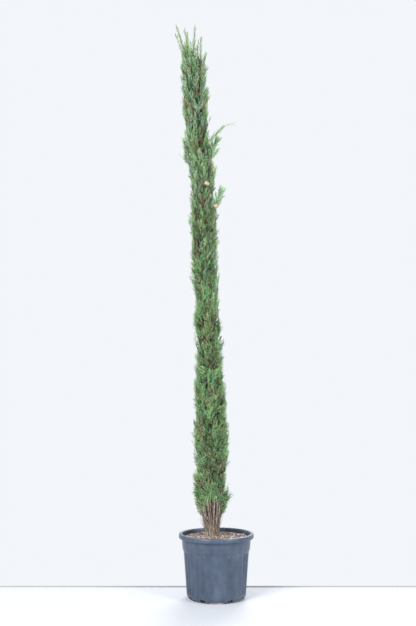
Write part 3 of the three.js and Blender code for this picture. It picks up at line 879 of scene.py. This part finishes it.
def grow_twigs(path, angle_at, first):
    """Twigs and their sprays along a bough's path, to alternate sides."""
    marks = distances(path)
    for i in range(int((marks[-1] - first) / BOUGH_STEP)):
        point = point_at(path, marks, first + (i + rng.random() * 0.6) * BOUGH_STEP)
        angle = angle_at + (1 if i % 2 else -1) * rng.uniform(0.05, 1)
        height = point[2] + rng.uniform(0.02, 0.06)
        front = smooth((math.cos(angle + math.pi / 2) - 0.78) / 0.16)
        if height < FOLIAGE_START + 0.1 * front + 0.03 * rng.random():
            continue
        root = crown_point(height, angle, rng.uniform(0.52, 0.76))
        bend = (point + root) / 2 + around(angle) * 0.004 - UP * 0.002
        add_limb(smooth_path([point, bend, root], 4), TWIG_RADIUS, 3, YOUNG_WOOD)
        sunken = hollow(height, angle)
        if sunken or rng.random() < INNER_SHARE:
            # A big dark inner spray behind the outer ones, mostly in painted shade, darkens the crown's
            # inside and its hollows.
            tip = crown_point(min(height + 0.06, CROWN_TOP - 0.03), angle, rng.uniform(0.5, 0.72))
            start = (point + root) / 2
            grow_spray(start, tip, pick_family(height, angle, True), 1, 0.5, 0.8, size=2.1, angles=(35, 75))
        if sunken and rng.random() < HOLLOW_BARE_SHARE:
            continue
        upper = 0.5 * smooth((height - 1.6) / 1.2)
        family = pick_family(height, angle)
        bright = rng.choice(3, p=[0.24 * (1 - upper), 0.42, 0.34 + 0.24 * upper])
        spray_to_outline(root, height, angle, family, bright)
        if rng.random() < SIDE_SPRAY_SHARE:
            aside = angle + rng.normal(0, 0.35)
            spray_to_outline((bend + root) / 2, height - 0.01, aside, family, rng.choice(3))


def grow_boughs():
    low, high = TRUNK.low + 0.17, CROWN_TOP - 0.14
    for i in range(BOUGHS):
        z0 = low + (high - low) * (i + 0.5 * rng.random()) / BOUGHS
        angle = i * GOLDEN_ANGLE
        top = min(z0 + between(BOUGH_LENGTH), CROWN_TOP - 0.02)
        turn = rng.normal(0, 0.25)
        knots = [TRUNK.middle_at(z0)]
        for u in (0.2, 0.45, 0.75, 1):
            z = z0 + (top - z0) * u
            leave = 1 - (1 - u) ** 2.4
            out = crown_point(z, angle + turn * u, 0.5 + 0.14 * u)
            knots.append(TRUNK.middle_at(z) * (1 - leave) + out * leave)
        path = smooth_path(knots, 14)
        add_limb(path, BOUGH_RADIUS, 6, OLD_WOOD)
        grow_twigs(path, angle + turn * 0.5, 0.09)


def grow_streaks():
    """Long thin shoots that climb just under the outline and show between the sprays, with leafy tops."""
    for _ in range(STREAKS):
        height, angle = rng.uniform(0.62, CROWN_TOP - 0.16), rng.uniform(0, 2 * math.pi)
        rise = rng.uniform(0.09, 0.22)
        shares = [0.6, 0.84, 0.95, rng.uniform(0.96, 1.06)]
        levels = [height + rise * i / 3 for i in range(4)]
        knots = [crown_point(z, angle + rng.normal(0, 0.05), s) for z, s in zip(levels, shares)]
        path = smooth_path(knots, 9)
        add_limb(path, (0.0017, 0.0008), 4, YOUNG_WOOD)
        aim = unit(path[-1] - path[-3])
        tip = path[-1] + aim * rng.uniform(0.03, 0.06)
        grow_spray(path[-2], tip, pick_family(height, angle), 2, woody=0)


def bundle_point(height, angle, share):
    """A point of the bundle of stems over the soil: share 1 is its outside."""
    reach = np.interp(height - SOIL_TOP, *zip(*BUNDLE))
    return TRUNK.middle_at(height) + around(angle) * reach * share


STEM_POINTS = 110
STEM_RADII = [0, 0.1, 0.4, 1], [0.0056, 0.0048, 0.0038, 0.002]  # by the share of the stem's length


def add_stems():
    """The stems round the trunk's foot, each carried on up into the crown as a bough with its own twigs."""
    for i, name in enumerate(STEM_NODES):
        points = node_points(name)
        low, high = points[:, 2].min(), points[:, 2].max()
        levels = np.linspace(low, high - 0.006, 4)
        knots = [points[np.abs(points[:, 2] - z) < (high - low) / 8].mean(0) for z in levels]
        knots[0][2] = low - 0.004
        middle = TRUNK.middle_at(high)
        angle = math.atan2(knots[-1][1] - middle[1], knots[-1][0] - middle[0])
        levels = [high + 0.07, high + 0.18, high + 0.4, between((1, 1.4))]
        knots += [crown_point(z, angle, share) for z, share in zip(levels, (0.58, 0.56, 0.56, 0.6))]
        path = smooth_path(knots, STEM_POINTS)
        axis = np.array([TRUNK.middle_at(z) for z in path[:, 2]])
        near = 0.78 + 0.22 * smooth((path[:, 2:] - SOIL_TOP) / 0.2)
        path[:, :2] = axis[:, :2] + (path[:, :2] - axis[:, :2]) * near
        radii = np.interp(np.linspace(0, 1, STEM_POINTS), *STEM_RADII)
        points, faces = bark_limb(path, radii, 18, 0.14, flare=0.2, seed=i + 1)
        add_piece(f"stem_bark_{i + 1}", points, [faces], [BARK], [name])
        grow_twigs(path[24:], angle, 0)


def add_thin_stems():
    """The thinner stems in and round the ring, and the dead twigs on them."""
    thin = Gather()
    for i in range(THIN_STEMS):
        angle = i * GOLDEN_ANGLE + rng.normal(0, 0.1)
        share, top = 1 - 0.45 * rng.random() ** 2.2, rng.uniform(0.6, 0.9)
        knots = []
        for z in np.linspace(SOIL_TOP - 0.003, top, 6):
            angle += rng.normal(0, 0.13)
            knots.append(bundle_point(z, angle, share * rng.uniform(0.9, 1.04)))
        path = smooth_path(knots, 30)
        points, quads = bark_limb(path, np.linspace(between((0.002, 0.0042)), 0.0016, 30), 8, 0.12, seed=i)
        thin.add(points, triangles_of(quads), OLD_WOOD)
        thin.add(points[-8:], np.array([[0, k + 1, k + 2] for k in range(6)]), OLD_WOOD)
    for _ in range(DEAD_TWIGS):
        z, angle = SOIL_TOP + 0.03 + 0.34 * rng.random() ** 1.2, 2 * math.pi * rng.random()
        start = bundle_point(z, angle, rng.uniform(0.8, 1))
        heading = unit(UP + around(angle) * rng.uniform(0, 0.5) + 0.42 * rng.normal(size=3))
        length = rng.uniform(0.025, 0.08)
        path = [start, start + heading * length * 0.5, start + unit(heading + 0.5 * UP) * length]
        thin.add(*tube(smooth_path(path, 4), np.linspace(0.0016, 0.0006, 4), 3), DEAD_WOOD)
    thin.piece("thin_stems", [BARK, TWIG, DEAD], "bark")


def grow_skirt():
    """The lowest sprays: most leave the sides and back of the bundle of stems, and a few cover its front."""
    for i in range(LOW_SPRAYS):
        off = rng.uniform(0.34, math.pi)
        angle = -math.pi / 2 + (1 if i % 2 else -1) * off
        height = rng.uniform(FOLIAGE_START - 0.015 + 0.03 * smooth((0.9 - off) / 0.5), FOLIAGE_START + 0.11)
        root = bundle_point(height, angle, 0.9)
        top, aside = height + rng.uniform(0.025, 0.06), angle + rng.normal(0, 0.1)
        tip = crown_point(top, aside, rng.uniform(0.88, 1.04))
        grow_spray(root, tip, pick_family(height, angle), 1 + (rng.random() < 0.5), angles=(30, 55))
    for _ in range(FRONT_PATCHES):
        angle, height = -math.pi / 2 + rng.normal(0, 0.34), rng.uniform(0.57, 0.69)
        root = bundle_point(height - 0.02, angle, 0.95)
        tip = crown_point(height + 0.05, angle + rng.normal(0, 0.12), rng.uniform(0.86, 1))
        grow_spray(root, tip, pick_family(height, angle), 1 + (rng.random() < 0.5), angles=(28, 50))


def grow_plume(path, bare, lengths, step, lean, families, size=0.9, bright=1, fullness=1):
    """Sprays all round a shoot: none on the bare share at its foot, shorter ones towards its tip."""
    marks = distances(path)
    first = bare * marks[-1]
    reach = marks[-1] - first - 0.8 * lengths[1]
    count = int(reach / step)
    for i in range(count):
        t = (i + 0.5) / count
        at = first + t * reach
        point = point_at(path, marks, at)
        along = unit(point_at(path, marks, at + 0.01) - point_at(path, marks, at - 0.01))
        across = unit(np.cross(along, [0.1, 1, 0.2]))
        turn = i * GOLDEN_ANGLE
        out = math.cos(turn) * across + math.sin(turn) * np.cross(along, across)
        aim = unit(along + out * lean * rng.uniform(0.7, 1.3))
        length = (lengths[0] + (lengths[1] - lengths[0]) * t) * rng.uniform(0.75, 1.2)
        family = FAMILY[rng.choice(families)]
        grow_spray(point, point + aim * length, family, bright + (rng.random() < 0.4), fullness, woody=0.25,
                   size=size, angles=(22, 40))


def tuft_line(name):
    """The bottom, middle and top of a plume or tip of the CAD."""
    points = node_points(name)
    low, high = points[:, 2].min(), points[:, 2].max()
    levels = (low, (low + high) / 2, high)
    return np.array([points[np.abs(points[:, 2] - z) < (high - low) * 0.12].mean(0) for z in levels])


def inside_crown(point, drop, share):
    """A point of the crown's inside below another point and to the same side."""
    off = point - CROWN.middle_at(point[2])
    return crown_point(point[2] - drop, math.atan2(off[1], off[0]), share)


def grow_tufts():
    """Plumes beside the column and the tips of the upper shoots, each on a thin shoot out of the crown."""
    for name in TUFT_NODES:
        line = tuft_line(name)
        if name.startswith("foliage_plume"):
            low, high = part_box(name)
            wide = (high.y - low.y) / 2
            path = smooth_path([inside_crown(line[0], 0.1, 0.35), *line], 16)
            families = ["green", "fresh", "bluish", "green"]
            full = 0.62 if name.endswith("left_upper") else 1.15
            lengths = (full * (1.9 * wide + 0.012), full * (0.6 * wide + 0.014))
            grow_plume(path, 0.36, lengths, 0.0034, 0.62, families, 1, 1, 1.2)
        else:
            path = smooth_path([inside_crown(line[0], 0.06, 0.5), *line], 16)
            grow_plume(path, 0.1, (0.05, 0.012), 0.0095, 0.34, ["green", "olive", "olive", "deep"], 0.72)
        add_limb(path, (0.0026, 0.0007), 5, GREEN_WOOD)
    for x, y, z, long in LEADERS:
        tip = np.array([x, y, z])
        start = crown_point(z - long, math.atan2(y, x + 0.15), 0.45)
        path = smooth_path([start, start * 0.45 + tip * 0.55 + 0.006 * rng.normal(size=3), tip], 14)
        add_limb(path, (0.0022, 0.0006), 5, GREEN_WOOD)
        grow_plume(path, 0.12, (0.044, 0.01), 0.0105, 0.32, ["green", "olive", "fresh", "deep"], 0.68)


def grow_sprigs():
    """Small sprigs that stick out of the column: thin shoots, leafy on their first part."""
    for tip, drop, leafy in SPRIGS:
        tip = np.array(tip)
        start = inside_crown(tip, drop, 0.7)
        path = smooth_path([start, start * 0.4 + tip * 0.6 + UP * 0.006, tip], 12)
        add_limb(path, (0.0014, 0.0005), 4, YOUNG_WOOD)
        cut = max(3, int(12 * leafy))
        grow_plume(path[:cut], 0.3, (0.032, 0.016), 0.007, 0.45, ["fresh", "olive"], 0.75, 2, 1.2)


def add_wild_shoot():
    """The shoot that arches out over the upper plume: leafy on its lower part, bare at its tip."""
    points = node_points("shoot_right")
    groups = np.array_split(points[np.argsort(points[:, 0])], 9)
    path = smooth_path([group.mean(0) for group in groups], 24)
    path = np.concatenate([[inside_crown(path[0], 0.08, 0.5)], path])
    add_limb(path, (0.0024, 0.0006), 5, YOUNG_WOOD)
    grow_plume(path[:17], 0.22, (0.042, 0.018), 0.0062, 0.46, ["fresh", "green", "bluish"], 0.9, 1, 1.1)
    for at, turn in ((13, 0.5), (17, -0.6), (20, 0.4)):
        aim = unit(path[at + 1] - path[at] + turn * UP * 0.01)
        side = smooth_path([path[at], path[at] + aim * 0.02 + UP * 0.002, path[at] + aim * 0.042], 5)
        add_limb(side, (0.0009, 0.0005), 3, YOUNG_WOOD)


def add_crown():
    add_stems()
    add_thin_stems()
    grow_boughs()
    grow_streaks()
    grow_skirt()
    grow_tufts()
    grow_sprigs()
    add_wild_shoot()
    rows = np.concatenate(cord_rows)
    materials = leaf_materials()
    edges = np.quantile(rows[:, 2], np.linspace(0, 1, LEAF_PIECES + 1))
    edges[0], edges[-1] = -1, 9
    middles = {n: sum(corner.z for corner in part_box(n)) / 2 for n in CROWN_NODES + TUFT_NODES}
    for i in range(LEAF_PIECES):
        points, faces, material = build_cords(rows[(rows[:, 2] >= edges[i]) & (rows[:, 2] < edges[i + 1])])
        replaced = [n for n in middles if edges[i] <= middles[n] < edges[i + 1]]
        add_piece(f"leaves_{i + 1}", points, [faces], materials, replaced, material)
    wood.piece("boughs_and_twigs", [BOUGH, TWIG, DEAD, GREEN_TWIG], "bark", ["shoot_right"])


# ---- fruit
CONE_RADIUS, CONE_SCALES = 0.0155, 12
# Cones: height, angle, and the share of the way from the crown's middle to its outline.
CONES = [(2.602, -1.22, 1), (2.466, -0.5, 1.14), (2.05, 1.9, 0.96), (1.72, 2.5, 0.96), (2.86, 1.1, 0.95)]


def cone_mesh(centre, radius, seed):
    """A round woody fruit whose surface is split into shield-like scales, each with a small point."""
    draw = np.random.default_rng(seed)
    rows, columns = 26, 40
    fall = np.linspace(0.002, math.pi - 0.002, rows)[:, None]
    sphere = polar(np.sin(fall), turns(columns), np.cos(fall))
    place = np.arange(CONE_SCALES) + 0.5
    lift = 1 - 2 * place / CONE_SCALES
    scales = polar(np.sqrt(1 - lift**2), place * GOLDEN_ANGLE, lift)
    near = np.sort(np.arccos(np.clip(sphere @ scales.T, -1, 1)), axis=-1)
    groove = smooth((near[..., 1] - near[..., 0]) / 0.16)
    bulge = 0.8 + 0.16 * groove + 0.05 * smooth(1 - near[..., 0] / 0.14)
    points = sphere * (radius * bulge)[..., None] * [1, 1, 1.22]
    tilt = unit([1, draw.normal(0, 0.4), draw.normal(0, 0.3) - 0.3])
    across = unit(np.cross(tilt, [0, 1, 0]))
    basis = np.stack([across, np.cross(tilt, across), tilt])
    faces = triangles_of(grid_faces(rows, columns)[:, [0, 3, 2, 1]])
    return points.reshape(-1, 3) @ basis + centre, faces


def add_cones():
    material = patterned(
        "cone", (0.48, 0.38, 0.28), 0.75, 0.3,
        [(0.22, 0.15, 0.1), (0.46, 0.36, 0.26), (0.62, 0.51, 0.39)],
        scale=60, relief=0.4,
    )
    cones = Gather()
    for i, place in enumerate(CONES):
        cones.add(*cone_mesh(crown_point(*place), CONE_RADIUS, i))
    cones.piece("cones", [material], "bark")


# ---- making
add_camera()
add_studio()
add_pot()
add_soil()
add_trunk()
add_crown()
add_cones()
